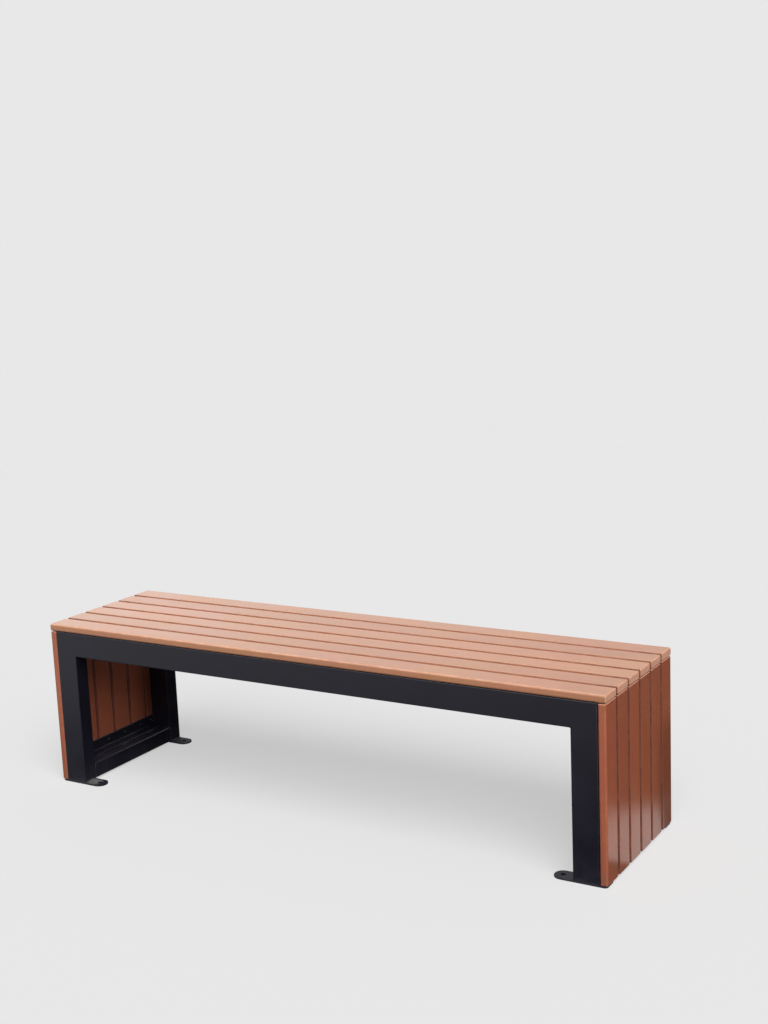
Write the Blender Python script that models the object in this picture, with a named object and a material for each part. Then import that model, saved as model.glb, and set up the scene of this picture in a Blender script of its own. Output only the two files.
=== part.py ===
"""A backless street bench with a slatted seat, slatted ends and two steel portal frames.

Units are metres. +Z is up, +X runs along the seat to the right and -Y is the front.
The origin is on the ground, under the middle of the seat.
"""

import math

import bmesh
import bpy

# Overall sizes
SEAT_LENGTH = 1.500
SEAT_HEIGHT = 0.416

# Slats, one board section for the seat and for both ends
SLAT_COUNT = 6
SLAT_WIDTH = 0.060
SLAT_THICKNESS = 0.018
SLAT_GAP = 0.005
SLAT_ROUNDING = 0.004
END_SLAT_HEAD_GAP = 0.002
END_SLAT_FOOT_GAP = 0.001

# Rectangular steel tube of the portal frames and the floor tubes
TUBE_FACE = 0.060
TUBE_DEPTH = 0.040
TUBE_WALL = 0.002
TUBE_CORNER = 0.003
TUBE_LEAST_INNER_CORNER = 0.0005

# Steel angle of the seat bearers and the corner angles
BEARER_COUNT = 3
BEARER_FLANGE = 0.040
BEARER_THICKNESS = 0.004

# Steel angle that holds the lower ends of the end slats
FLOOR_ANGLE_FLANGE = 0.030
FLOOR_ANGLE_THICKNESS = 0.003

# Fillet inside every angle
ANGLE_ROOT = 0.003

# Foot plates
PLATE_THICKNESS = 0.004
PLATE_TAB = 0.050
PLATE_SETBACK = 0.002
PLATE_CORNER = 0.008
ANCHOR_HOLE_RADIUS = 0.006
ANCHOR_HOLE_FROM_TIP = 0.020

# Pan head screws between the bearers and the seat slats
SCREW_SHANK_RADIUS = 0.0024
SCREW_HEAD_RADIUS = 0.0048
SCREW_CROWN_RADIUS = 0.0034
SCREW_HEAD_HEIGHT = 0.0032
SCREW_RIM_HEIGHT = 0.0016
SCREW_TIP_HEIGHT = 0.003
WOOD_OVER_SCREW = 0.006

# Gap between touching pieces
FIT = 0.0003

# Points of a turned shape this close are one
MERGE_DISTANCE = 0.00001

# Steps of the round stretches
ROUNDING_STEPS = 3
CORNER_STEPS = 3
TAB_STEPS = 12
HOLE_STEPS = 16
SCREW_STEPS = 12
SMOOTH_BELOW = math.radians(40)

# Places that follow from the sizes
SLAT_PITCH = SLAT_WIDTH + SLAT_GAP
SEAT_DEPTH = SLAT_COUNT * SLAT_PITCH - SLAT_GAP
SLAT_UNDERSIDE = SEAT_HEIGHT - SLAT_THICKNESS
FRAME_TOP = SLAT_UNDERSIDE - FIT
FRAME_END = SEAT_LENGTH / 2 - SLAT_THICKNESS - FIT
FRAME_FOOT = PLATE_THICKNESS + FIT
PORTAL_Y = (SEAT_DEPTH - TUBE_DEPTH) / 2
INNER_SPAN = SEAT_DEPTH - 2 * TUBE_DEPTH - 2 * FIT
PLATE_END = SEAT_LENGTH / 2 - PLATE_SETBACK
PLATE_TIP = FRAME_END - TUBE_FACE - PLATE_TAB
FLOOR_TUBE_TOP = FRAME_FOOT + TUBE_DEPTH
SCREW_HEAD_SEAT = FRAME_TOP - BEARER_THICKNESS - FIT
SCREW_TIP = SEAT_HEIGHT - WOOD_OVER_SCREW
MITRE_SETBACK = FIT / math.sqrt(2)


def clear_scene():
    for item in list(bpy.data.objects):
        bpy.data.objects.remove(item, do_unlink=True)


def finish(name, colour, roughness, metallic):
    """A plain surface of one colour."""
    material = bpy.data.materials.new(name)
    material.use_nodes = True
    shader = material.node_tree.nodes["Principled BSDF"]
    shader.inputs["Base Color"].default_value = (*colour, 1)
    shader.inputs["Roughness"].default_value = roughness
    shader.inputs["Metallic"].default_value = metallic
    material.diffuse_color = (*colour, 1)
    return material


def group(name, parent=None):
    """An empty that carries one part of the bench."""
    holder = bpy.data.objects.new(name, None)
    bpy.context.scene.collection.objects.link(holder)
    holder.parent = parent
    return holder


def place(name, mesh, material, parent, location, rotation=(0, 0, 0)):
    """A named piece from a mesh, with its material, under its group."""
    if not mesh.materials:
        mesh.materials.append(material)
    piece = bpy.data.objects.new(name, mesh)
    bpy.context.scene.collection.objects.link(piece)
    piece.parent = parent
    piece.location = location
    piece.rotation_euler = [math.radians(turn) for turn in rotation]
    return piece


def to_mesh(name, shape):
    """A mesh with outward faces and smooth round stretches, from a finished bmesh."""
    bmesh.ops.recalc_face_normals(shape, faces=shape.faces)
    mesh = bpy.data.meshes.new(name)
    shape.to_mesh(mesh)
    shape.free()
    mesh.shade_smooth()
    mesh.set_sharp_from_angle(angle=SMOOTH_BELOW)
    return mesh


def extrude(shape, direction):
    """Carries every face of a flat shape along a direction, as a closed solid."""
    grown = bmesh.ops.extrude_face_region(shape, geom=shape.faces[:])["geom"]
    moved = [item for item in grown if isinstance(item, bmesh.types.BMVert)]
    bmesh.ops.translate(shape, verts=moved, vec=direction)


def arc(centre, radius, start, end, steps):
    """Points along an arc, both ends included, with angles in degrees."""
    points = []
    for step in range(steps + 1):
        angle = math.radians(start + (end - start) * step / steps)
        points.append((centre[0] + radius * math.cos(angle), centre[1] + radius * math.sin(angle)))
    return points


def rounded_rectangle(width, height, radius):
    """The outline of a rectangle about the origin, with an arc at each corner."""
    outline = []
    for corner, (side, level) in enumerate(((1, 1), (-1, 1), (-1, -1), (1, -1))):
        centre = (side * (width / 2 - radius), level * (height / 2 - radius))
        outline += arc(centre, radius, 90 * corner, 90 * corner + 90, CORNER_STEPS)
    return outline


def slat_mesh(name, size):
    """A board about its own middle, its edges still square."""
    shape = bmesh.new()
    bmesh.ops.create_cube(shape, size=1)
    bmesh.ops.scale(shape, verts=shape.verts, vec=size)
    return to_mesh(name, shape)


def round_edges(slat):
    """Rounds every edge of a board."""
    rounding = slat.modifiers.new("Rounded edges", "BEVEL")
    rounding.limit_method = "NONE"
    rounding.width = SLAT_ROUNDING
    rounding.segments = ROUNDING_STEPS
    rounding.harden_normals = True


def bore(piece, cutter):
    """Cuts the cutter's holes in a piece."""
    cut = piece.modifiers.new("Bores", "BOOLEAN")
    cut.operation = "DIFFERENCE"
    cut.object = cutter


def tube_mesh(name, length, start_mitred, end_mitred):
    """A hollow tube along +X from the origin, its wide face along Z, its long side at +Z."""
    outer = rounded_rectangle(TUBE_DEPTH, TUBE_FACE, TUBE_CORNER)
    inner_radius = max(TUBE_CORNER - TUBE_WALL, TUBE_LEAST_INNER_CORNER)
    inner = rounded_rectangle(TUBE_DEPTH - 2 * TUBE_WALL, TUBE_FACE - 2 * TUBE_WALL, inner_radius)
    shape = bmesh.new()
    outer_ring = [shape.verts.new((0, y, z)) for y, z in outer]
    inner_ring = [shape.verts.new((0, y, z)) for y, z in inner]
    for here in range(len(outer)):
        after = (here + 1) % len(outer)
        shape.faces.new((outer_ring[here], outer_ring[after], inner_ring[after], inner_ring[here]))
    extrude(shape, (length, 0, 0))
    for vertex in shape.verts:
        slope = MITRE_SETBACK + TUBE_FACE / 2 - vertex.co.z
        at_end = vertex.co.x > length / 2
        if at_end and end_mitred:
            vertex.co.x -= slope
        if not at_end and start_mitred:
            vertex.co.x += slope
    return to_mesh(name, shape)


def angle_mesh(name, flange, thickness):
    """An angle along Y about the origin, its heel on the Y axis, its flanges along +X and +Z."""
    outline = [(0, 0), (flange, 0), (flange, thickness)]
    root = thickness + ANGLE_ROOT
    outline += arc((root, root), ANGLE_ROOT, 270, 180, CORNER_STEPS)
    outline += [(thickness, flange), (0, flange)]
    shape = bmesh.new()
    shape.faces.new([shape.verts.new((x, -INNER_SPAN / 2, z)) for x, z in outline])
    extrude(shape, (0, INNER_SPAN, 0))
    return to_mesh(name, shape)


def plate_mesh(name):
    """A foot plate on the ground, its outer end at the origin, its round tab towards +X."""
    half_width = TUBE_DEPTH / 2
    corner_y = half_width - PLATE_CORNER
    reach = PLATE_END - PLATE_TIP
    outline = arc((PLATE_CORNER, -corner_y), PLATE_CORNER, 180, 270, CORNER_STEPS)
    outline += arc((reach - half_width, 0), half_width, -90, 90, TAB_STEPS)
    outline += arc((PLATE_CORNER, corner_y), PLATE_CORNER, 90, 180, CORNER_STEPS)
    shape = bmesh.new()
    shape.faces.new([shape.verts.new((x, y, 0)) for x, y in outline])
    extrude(shape, (0, 0, PLATE_THICKNESS))
    return to_mesh(name, shape)


def screw_mesh(name):
    """A pan head screw with its head's seat at the origin and its tip up."""
    length = SCREW_TIP - SCREW_HEAD_SEAT
    profile = [
        (0, -SCREW_HEAD_HEIGHT),
        (SCREW_CROWN_RADIUS, -SCREW_HEAD_HEIGHT),
        (SCREW_HEAD_RADIUS, -SCREW_RIM_HEIGHT),
        (SCREW_HEAD_RADIUS, 0),
        (SCREW_SHANK_RADIUS, 0),
        (SCREW_SHANK_RADIUS, length - SCREW_TIP_HEIGHT),
        (0, length),
    ]
    shape = bmesh.new()
    points = [shape.verts.new((radius, 0, height)) for radius, height in profile]
    edges = [shape.edges.new(pair) for pair in zip(points, points[1:])]
    bmesh.ops.spin(
        shape,
        geom=points + edges,
        cent=(0, 0, 0),
        axis=(0, 0, 1),
        angle=math.tau,
        steps=SCREW_STEPS,
        use_merge=True,
    )
    bmesh.ops.remove_doubles(shape, verts=shape.verts, dist=MERGE_DISTANCE)
    return to_mesh(name, shape)


def bores_cutter(name, centres, radius, bottom, top, steps):
    """Upright round cutters at the given places, as one hidden guide object."""
    shape = bmesh.new()
    for x, y in centres:
        made = bmesh.ops.create_cone(
            shape,
            cap_ends=True,
            segments=steps,
            radius1=radius,
            radius2=radius,
            depth=top - bottom,
        )
        bmesh.ops.translate(shape, verts=made["verts"], vec=(x, y, (top + bottom) / 2))
    cutter = bpy.data.objects.new(name, to_mesh(name, shape))
    bpy.context.scene.collection.objects.link(cutter)
    cutter.hide_render = True
    cutter.display_type = "WIRE"
    return cutter


def slat_y(index):
    """The middle of a board, counted from the front."""
    return index * SLAT_PITCH + SLAT_WIDTH / 2 - SEAT_DEPTH / 2


def screw_y(index):
    """The middle of what a board shares with the bearers under it."""
    front = max(slat_y(index) - SLAT_WIDTH / 2, -INNER_SPAN / 2)
    rear = min(slat_y(index) + SLAT_WIDTH / 2, INNER_SPAN / 2)
    return (front + rear) / 2


def bearer_x(index):
    """The screw line of a bearer, in even steps between the two ends of the frame."""
    return FRAME_END * (2 * (index + 1) / (BEARER_COUNT + 1) - 1)


def add_seat_slats(parent, material, screw_bores):
    mesh = slat_mesh("seat_slat", (SEAT_LENGTH, SLAT_WIDTH, SLAT_THICKNESS))
    middle = SEAT_HEIGHT - SLAT_THICKNESS / 2
    for index in range(SLAT_COUNT):
        name = f"seat_slat_{index + 1}"
        slat = place(name, mesh, material, parent, (0, slat_y(index), middle))
        round_edges(slat)
        bore(slat, screw_bores)


def add_end_slats(parent, material, side_name, side):
    foot = PLATE_THICKNESS + END_SLAT_FOOT_GAP
    height = SLAT_UNDERSIDE - END_SLAT_HEAD_GAP - foot
    mesh = slat_mesh(f"{side_name}_end_slat", (SLAT_THICKNESS, SLAT_WIDTH, height))
    x = side * (SEAT_LENGTH - SLAT_THICKNESS) / 2
    for index in range(SLAT_COUNT):
        name = f"{side_name}_end_slat_{index + 1}"
        slat = place(name, mesh, material, parent, (x, slat_y(index), foot + height / 2))
        round_edges(slat)


def add_portal(parent, material, side_name, side):
    """A top rail and two legs, mitred where they meet."""
    y = side * PORTAL_Y
    rail = tube_mesh(f"{side_name}_rail", 2 * FRAME_END, True, True)
    rail_z = FRAME_TOP - TUBE_FACE / 2
    place(f"{side_name}_rail", rail, material, parent, (-FRAME_END, y, rail_z))
    leg = tube_mesh(f"{side_name}_leg", FRAME_TOP - FRAME_FOOT, True, False)
    leg_x = FRAME_END - TUBE_FACE / 2
    place(f"{side_name}_left_leg", leg, material, parent, (-leg_x, y, FRAME_TOP), (0, 90, 180))
    place(f"{side_name}_right_leg", leg, material, parent, (leg_x, y, FRAME_TOP), (0, 90, 0))


def add_floor_tube(parent, material, side_name, side):
    mesh = tube_mesh(f"{side_name}_floor_tube", INNER_SPAN, False, False)
    x = side * (FRAME_END - TUBE_FACE / 2)
    z = FRAME_FOOT + TUBE_DEPTH / 2
    place(f"{side_name}_floor_tube", mesh, material, parent, (x, -INNER_SPAN / 2, z), (90, 0, 90))


def add_slat_angles(parent, material, side_name, side):
    """The corner angle under the seat and the floor angle, both behind the end slats."""
    x = side * FRAME_END
    corner = angle_mesh(f"{side_name}_corner_angle", BEARER_FLANGE, BEARER_THICKNESS)
    corner_turn = (0, 180, 0) if side > 0 else (180, 0, 0)
    place(f"{side_name}_corner_angle", corner, material, parent, (x, 0, FRAME_TOP), corner_turn)
    low = angle_mesh(f"{side_name}_floor_angle", FLOOR_ANGLE_FLANGE, FLOOR_ANGLE_THICKNESS)
    low_turn = (0, 0, 180) if side > 0 else (0, 0, 0)
    low_z = FLOOR_TUBE_TOP + FIT
    place(f"{side_name}_floor_angle", low, material, parent, (x, 0, low_z), low_turn)


def add_bearers(parent, material, screw_bores):
    mesh = angle_mesh("seat_bearer", BEARER_FLANGE, BEARER_THICKNESS)
    screw_line = (BEARER_THICKNESS + BEARER_FLANGE) / 2
    for index in range(BEARER_COUNT):
        location = (bearer_x(index) - screw_line, 0, FRAME_TOP)
        bearer = place(f"seat_bearer_{index + 1}", mesh, material, parent, location, (180, 0, 0))
        bore(bearer, screw_bores)


def add_screws(parent, material):
    mesh = screw_mesh("seat_screw")
    for bearer in range(BEARER_COUNT):
        for slat in range(SLAT_COUNT):
            location = (bearer_x(bearer), screw_y(slat), SCREW_HEAD_SEAT)
            place(f"seat_screw_{bearer + 1}_{slat + 1}", mesh, material, parent, location)


def add_foot_plates(parent, material):
    """Four plates under the legs, their tabs towards the middle of the bench."""
    hole_x = PLATE_TIP + ANCHOR_HOLE_FROM_TIP
    centres = [(x, y) for x in (-hole_x, hole_x) for y in (-PORTAL_Y, PORTAL_Y)]
    holes = bores_cutter(
        "anchor_bores", centres, ANCHOR_HOLE_RADIUS, -PLATE_THICKNESS, 2 * PLATE_THICKNESS, HOLE_STEPS
    )
    mesh = plate_mesh("foot_plate")
    for depth_name, depth in (("front", -1), ("rear", 1)):
        for side_name, side, turn in (("left", -1, 0), ("right", 1, 180)):
            location = (side * PLATE_END, depth * PORTAL_Y, 0)
            name = f"{depth_name}_{side_name}_foot_plate"
            plate = place(name, mesh, material, parent, location, (0, 0, turn))
            bore(plate, holes)


def main():
    clear_scene()
    board_paint = finish("board_paint", (0.38, 0.13, 0.075), 0.35, 0)
    frame_coating = finish("frame_coating", (0.03, 0.028, 0.037), 0.45, 0)
    screw_steel = finish("screw_steel", (0.55, 0.55, 0.56), 0.35, 1)

    bench = group("bench")
    seat = group("seat", bench)
    frame = group("frame", bench)
    screws = [(bearer_x(i), screw_y(j)) for i in range(BEARER_COUNT) for j in range(SLAT_COUNT)]
    screw_bores = bores_cutter(
        "screw_bores",
        screws,
        SCREW_SHANK_RADIUS + FIT,
        SCREW_HEAD_SEAT - SCREW_HEAD_HEIGHT,
        SCREW_TIP + FIT,
        SCREW_STEPS,
    )
    add_seat_slats(seat, board_paint, screw_bores)
    add_bearers(frame, frame_coating, screw_bores)
    add_screws(seat, screw_steel)
    add_foot_plates(frame, frame_coating)
    for side_name, side in (("left", -1), ("right", 1)):
        end = group(f"{side_name}_end", bench)
        add_end_slats(end, board_paint, side_name, side)
        add_floor_tube(frame, frame_coating, side_name, side)
        add_slat_angles(frame, frame_coating, side_name, side)
    for side_name, side in (("front", -1), ("rear", 1)):
        add_portal(frame, frame_coating, side_name, side)


main()
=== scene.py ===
"""The looks of a backless street bench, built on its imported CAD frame.

Units are metres. +Z is up, +X runs along the seat to the right and -Y is the front.
Places and sizes come from the CAD nodes' boxes, apart from the few that no box tells.
"""

import math

import bmesh
import bpy
from bpy.props import FloatProperty, FloatVectorProperty, IntProperty, PointerProperty
from mathutils import Matrix, Vector


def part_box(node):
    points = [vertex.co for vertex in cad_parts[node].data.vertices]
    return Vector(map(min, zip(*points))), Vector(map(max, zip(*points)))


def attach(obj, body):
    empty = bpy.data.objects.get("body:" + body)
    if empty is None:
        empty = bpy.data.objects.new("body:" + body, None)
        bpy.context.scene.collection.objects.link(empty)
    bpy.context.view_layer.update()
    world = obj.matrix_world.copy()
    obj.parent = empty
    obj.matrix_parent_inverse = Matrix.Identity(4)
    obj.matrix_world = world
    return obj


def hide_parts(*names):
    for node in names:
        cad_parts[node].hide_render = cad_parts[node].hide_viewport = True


bl_info = {
    "name": "Slatted street bench",
    "version": (1, 0, 0),
    "blender": (4, 5, 0),
    "location": "3D View > Sidebar > Bench",
    "description": "Builds a slatted street bench on steel portal frames",
    "category": "Add Mesh",
}

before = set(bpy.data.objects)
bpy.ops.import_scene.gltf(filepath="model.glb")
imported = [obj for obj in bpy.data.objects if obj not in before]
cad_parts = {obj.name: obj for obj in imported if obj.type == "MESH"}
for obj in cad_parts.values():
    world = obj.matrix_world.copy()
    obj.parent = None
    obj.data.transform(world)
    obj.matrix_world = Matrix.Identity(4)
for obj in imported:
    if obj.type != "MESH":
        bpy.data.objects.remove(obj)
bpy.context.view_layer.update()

BODY = "root"
SIDES = (("left", -1), ("right", 1))
DEPTHS = ("front", "rear")
BOARD_COUNT = 6
BEARER_COUNT = 3
X_AXIS, Y_AXIS, Z_AXIS = range(3)
UP = Vector((0, 0, 1))

# Slots of the record
BOARD_SLOT = "board_paint"
FRAME_SLOT = "frame_coating"
SCREW_SLOT = "screw_steel"

# Sizes of the CAD model that no box tells
BEARER_THICKNESS = 0.004
FLOOR_ANGLE_THICKNESS = 0.003
SCREW_HEAD_FIT = 0.0003

# How closely meshes are made
MERGE_DISTANCE = 0.00001
SMOOTH_BELOW = math.radians(40)
ALONG_AXIS = 0.999
SAWN_END_STEPS = 4
FILLET_STEPS = 4
TUBE_CORNER_STEPS = 6
ANGLE_ROOT_STEPS = 5
ANGLE_TOE_STEPS = 4
PLATE_CORNER_STEPS = 6
TAB_STEPS = 14
PLATE_EDGE_STEPS = 2
HOLE_STEPS = 40
SCREW_STEPS = 20
BEAD_SIDES = 10

# A weld bead's thickness at its ends and between its ripples, as shares of its radius
BEAD_END = 0.45
BEAD_VALLEY = 0.84

# How far a bead stops short of a corner, an end, an angle's root and its toes
CLEAR_OF_CORNER = 0.003
CLEAR_OF_END = 0.004
CLEAR_OF_ROOT = 0.005
CLEAR_OF_TOE = 0.001
CLEAR_OF_BEARER_TOE = 0.002

# Short beads that tack each floor angle to its tube
TACK_PLACES = (-0.10, 0.0, 0.10)
HALF_TACK = 0.0125

# A pan head from its crown to its seat, as shares of its radius and its height
PAN_HEAD = ((0, 1), (0.30, 0.99), (0.60, 0.92), (0.84, 0.74), (0.97, 0.46), (1, 0.14), (0.97, 0))

# The second wing of the cross recess is a little shallower, and each screw stops turned further
SECOND_WING_DEPTH = 0.98
SCREW_TURN_DEGREES = 37

# What weather does to a paint's red, green and blue, and the tints of its painted highlight and painted
# shade
WARMER = (0.98, 1.04, 0.95)
# Worn paint and a painted highlight along the boards' edges
WORN_AND_HIGHLIT = (1.25, 1.52, 1.78)
# Tints of the painted shade in the boards' gaps and on their sawn ends
GAP_SHADE_TINT = (1, 0.80, 0.72)
END_GRAIN_GAP_SHADE = (0.28, 0.22, 0.20)

# Painted shade low on the boards, and the dusty and rubbed colours on the coating
GROUND_SHADE = (0.17, 0.10, 0.075)
PALE_DUST = (0.16, 0.15, 0.14)
RUBBED_STEEL = (0.060, 0.060, 0.066)

# The painted shade in the seat's gaps deepens to this share of its tone between two distances from the
# bench's ends
GAP_END_SHARE = 0.58
SEAT_END_REACH = (0.09, 0.01)

# The painted shade in the uprights' gaps is paler by this factor up to the second pair of distances
INNER_GAP_FACTOR = 1.7
UPRIGHT_END_REACH = (0.013, 0.007)

# From a foot plate's tip to the middle of the painted highlight beside its hole
TAB_HIGHLIGHT_FROM_TIP = 0.036

PAINT_IOR = 1.5

# Flags lie just above the ground
FLAG_LEVEL = 0.002
FLAG_BLACK = (0.01, 0.01, 0.01)

# Where the key light is drawn, the camera's sensor in millimetres and how far it sees
KEY_DISTANCE = 4
SENSOR_WIDTH = 36
VIEW_REACH = 60


def cad_board_pitch():
    """From one board to the next, front to rear."""
    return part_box("seat_slat_2")[0].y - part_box("seat_slat_1")[0].y


def cad_screw_length():
    """From under a seat screw's head to its tip."""
    above_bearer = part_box("seat_screw_1_1")[1].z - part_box("seat_bearer_1")[1].z
    return above_bearer + BEARER_THICKNESS + SCREW_HEAD_FIT


# Settings

class BenchBoards(bpy.types.PropertyGroup):
    rounding: FloatProperty(
        name="Edge rounding", description="Radius along the boards' long edges",
        default=0.005, unit="LENGTH",
    )
    end_rounding: FloatProperty(
        name="Seat end rounding", description="Radius around the seat boards' sawn ends",
        default=0.0025, unit="LENGTH",
    )
    upright_end_rounding: FloatProperty(
        name="Upright end rounding", description="Radius around the end boards' sawn ends",
        default=0.001, unit="LENGTH",
    )
    rounding_steps: IntProperty(
        name="Rounding steps", description="Steps around each rounded edge", default=6,
    )
    seat_paint: FloatVectorProperty(
        name="Seat paint", description="Colour of the seat boards' paint, a little bleached by the sun",
        default=(0.474, 0.200, 0.106), subtype="COLOR",
    )
    upright_paint: FloatVectorProperty(
        name="Upright paint", description="Colour of the end boards' paint",
        default=(0.395, 0.112, 0.060), subtype="COLOR",
    )
    sawn_paint: FloatVectorProperty(
        name="Sawn end paint", description="Colour where the paint soaks into the sawn ends",
        default=(0.74, 0.37, 0.25), subtype="COLOR",
    )
    # The gap tones set the painted shade in the gaps between the boards
    seat_gap_shade: FloatProperty(
        name="Seat gap tone", description="Share of the paint's lightness left in the seat's gaps",
        default=0.50, subtype="FACTOR",
    )
    upright_gap_shade: FloatProperty(
        name="Upright gap tone", description="Share of the paint's lightness left in the ends' gaps",
        default=0.25, subtype="FACTOR",
    )
    # Painted shade: the rearmost end boards are darker low down
    splash: FloatProperty(
        name="Splash dirt", description="How much darker the rear end boards are where splashes dry",
        default=0.34, subtype="FACTOR",
    )
    # Worn paint and a painted highlight along the boards' edges
    seat_edge_wear_and_highlight: FloatProperty(
        name="Seat edge wear", description="How far the paint is worn thin along the seat boards' edges",
        default=0.85, subtype="FACTOR",
    )
    upright_edge_wear_and_highlight: FloatProperty(
        name="Upright edge wear", description="How far the paint is worn thin along the end boards' edges",
        default=0.30, subtype="FACTOR",
    )
    tone_spread: FloatProperty(
        name="Tone spread", description="How far one board's tone is from the next",
        default=0.04, subtype="FACTOR",
    )
    roughness: FloatProperty(
        name="Paint roughness", description="Roughness of the semi-gloss paint",
        default=0.20, subtype="FACTOR",
    )


class BenchSteel(bpy.types.PropertyGroup):
    tube_corner: FloatProperty(
        name="Tube corner", description="Outside corner radius of the rectangular tube",
        default=0.003, unit="LENGTH",
    )
    inner_fillet: FloatProperty(
        name="Opening fillet", description="Weld fillet in the portal's two inner corners",
        default=0.002, unit="LENGTH",
    )
    angle_root: FloatProperty(
        name="Angle root", description="Fillet inside each steel angle",
        default=0.003, unit="LENGTH",
    )
    angle_toe: FloatProperty(
        name="Angle toe", description="Rounding at the toes of each steel angle",
        default=0.0015, unit="LENGTH",
    )
    plate_corner: FloatProperty(
        name="Plate corner", description="Radius of a foot plate's outer corners",
        default=0.008, unit="LENGTH",
    )
    plate_edge: FloatProperty(
        name="Plate edge", description="Broken edge around a foot plate and its hole",
        default=0.0004, unit="LENGTH",
    )
    hole_radius: FloatProperty(
        name="Anchor hole radius", description="Radius of the hole in a foot plate's tab",
        default=0.006, unit="LENGTH",
    )
    hole_from_tip: FloatProperty(
        name="Anchor hole from tip", description="From the tab's tip to the middle of its hole",
        default=0.020, unit="LENGTH",
    )
    weld_radius: FloatProperty(
        name="Weld radius", description="Radius of the weld beads",
        default=0.0022, unit="LENGTH",
    )
    weld_pitch: FloatProperty(
        name="Weld ripple", description="From one ripple of a weld bead to the next",
        default=0.0012, unit="LENGTH",
    )
    coating: FloatVectorProperty(
        name="Coating", description="Colour of the powder coat",
        default=(0.0050, 0.0044, 0.0104), subtype="COLOR",
    )
    # A painted highlight on the foot plates' tabs, strongest on the front left one
    tab_highlight: FloatVectorProperty(
        name="Scuffed coating", description="Colour where boots and brooms scuff a foot plate's tab",
        default=(0.122, 0.122, 0.126), subtype="COLOR",
    )
    coating_roughness: FloatProperty(
        name="Coating roughness", description="Roughness of the satin powder coat",
        default=0.42, subtype="FACTOR",
    )


class BenchScrews(bpy.types.PropertyGroup):
    head_radius: FloatProperty(
        name="Head radius", description="Radius of a pan head",
        default=0.0048, unit="LENGTH",
    )
    head_height: FloatProperty(
        name="Head height", description="Height of a pan head",
        default=0.0032, unit="LENGTH",
    )
    shank_radius: FloatProperty(
        name="Shank radius", description="Radius of a screw's shank",
        default=0.0024, unit="LENGTH",
    )
    length: FloatProperty(
        name="Length", description="From under the head to the tip",
        default=cad_screw_length(), unit="LENGTH",
    )
    recess_width: FloatProperty(
        name="Recess width", description="Across the cross recess, from tip to tip",
        default=0.0050, unit="LENGTH",
    )
    recess_wing: FloatProperty(
        name="Recess wing", description="Width of each wing of the cross recess",
        default=0.0010, unit="LENGTH",
    )
    recess_depth: FloatProperty(
        name="Recess depth", description="Depth of the cross recess",
        default=0.0019, unit="LENGTH",
    )
    zinc: FloatVectorProperty(
        name="Zinc", description="Colour of the zinc plating",
        default=(0.50, 0.50, 0.51), subtype="COLOR",
    )


class BenchStage(bpy.types.PropertyGroup):
    floor_radius: FloatProperty(
        name="Floor radius", description="Half the width of the floor, which fades away inside it",
        default=9.0, unit="LENGTH",
    )
    floor_colour: FloatVectorProperty(
        name="Floor", description="Colour of the floor as it is seen",
        default=(0.690, 0.690, 0.690), subtype="COLOR",
    )
    floor_bounce: FloatVectorProperty(
        name="Floor bounce", description="Colour of the floor as it lights the bench",
        default=(0.23, 0.23, 0.23), subtype="COLOR",
    )
    shadow_lift: FloatProperty(
        name="Shadow lift", description="How far the floor's shadow is lifted towards the backdrop",
        default=0.60, subtype="FACTOR",
    )
    backdrop: FloatVectorProperty(
        name="Backdrop", description="Colour behind the floor",
        default=(0.806, 0.806, 0.806), subtype="COLOR",
    )
    bright_side: FloatVectorProperty(
        name="Bright side", description="Where the backdrop is brightest in reflections",
        default=(-0.72, 0.66, 0.20), subtype="DIRECTION",
    )
    bright_level: FloatProperty(
        name="Bright level", description="What the brightest side adds to the backdrop in reflections",
        default=0.50,
    )
    overhead_level: FloatProperty(
        name="Overhead level", description="What the sky overhead adds to the backdrop in reflections",
        default=3.0,
    )
    # Painted shade on the floor below the anchor holes
    hole_shade: FloatVectorProperty(
        name="Ground in the holes", description="Colour of the ground below the anchor holes",
        default=(0.03, 0.03, 0.03), subtype="COLOR",
    )
    sky_low: FloatProperty(
        name="Low sky", description="Strength of the soft light from the horizon", default=0.08,
    )
    sky_high: FloatProperty(
        name="High sky", description="Strength of the soft light from straight above", default=0.42,
    )
    key_level: FloatProperty(
        name="Key level", description="Strength of the broad light from above", default=3.55,
    )
    key_softness: FloatProperty(
        name="Key softness", description="Angle across the broad light",
        default=math.radians(50), subtype="ANGLE",
    )
    key_direction: FloatVectorProperty(
        name="Key direction", description="From the bench towards the broad light",
        default=(0.414, -0.500, 0.760), subtype="DIRECTION",
    )
    flag_edge: FloatProperty(
        name="Flag edge", description="Moves the slanted edge of the flag beside the right end",
        default=0.90, unit="LENGTH",
    )
    camera_place: FloatVectorProperty(
        name="Camera place", description="Where the camera stands",
        default=(1.8374, -2.8365, 1.3336), subtype="TRANSLATION", unit="LENGTH",
    )
    camera_yaw: FloatProperty(
        name="Camera yaw", description="Turn of the view from +Y towards +X",
        default=math.radians(-30.993), subtype="ANGLE",
    )
    camera_pitch: FloatProperty(
        name="Camera pitch", description="Tilt of the view above the horizon",
        default=math.radians(-10.483), subtype="ANGLE",
    )
    camera_roll: FloatProperty(
        name="Camera roll", description="Turn of the camera about its own axis",
        default=math.radians(-2.387), subtype="ANGLE",
    )
    lens: FloatProperty(
        name="Lens", description="Focal length on a 36 mm sensor",
        default=51.50, unit="CAMERA",
    )


# Nodes of the materials

def new_finish(name):
    """An empty node material with its principled shader."""
    material = bpy.data.materials.new(name)
    material.use_nodes = True
    tree = material.node_tree
    return material, tree, tree.nodes["Principled BSDF"]


def link(tree, source, target):
    """Joins two sockets, or sets a plain value, opaque where it is a colour."""
    if isinstance(source, bpy.types.NodeSocket):
        tree.links.new(source, target)
    elif target.type == "RGBA":
        target.default_value = (*source, 1)
    else:
        target.default_value = source


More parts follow.
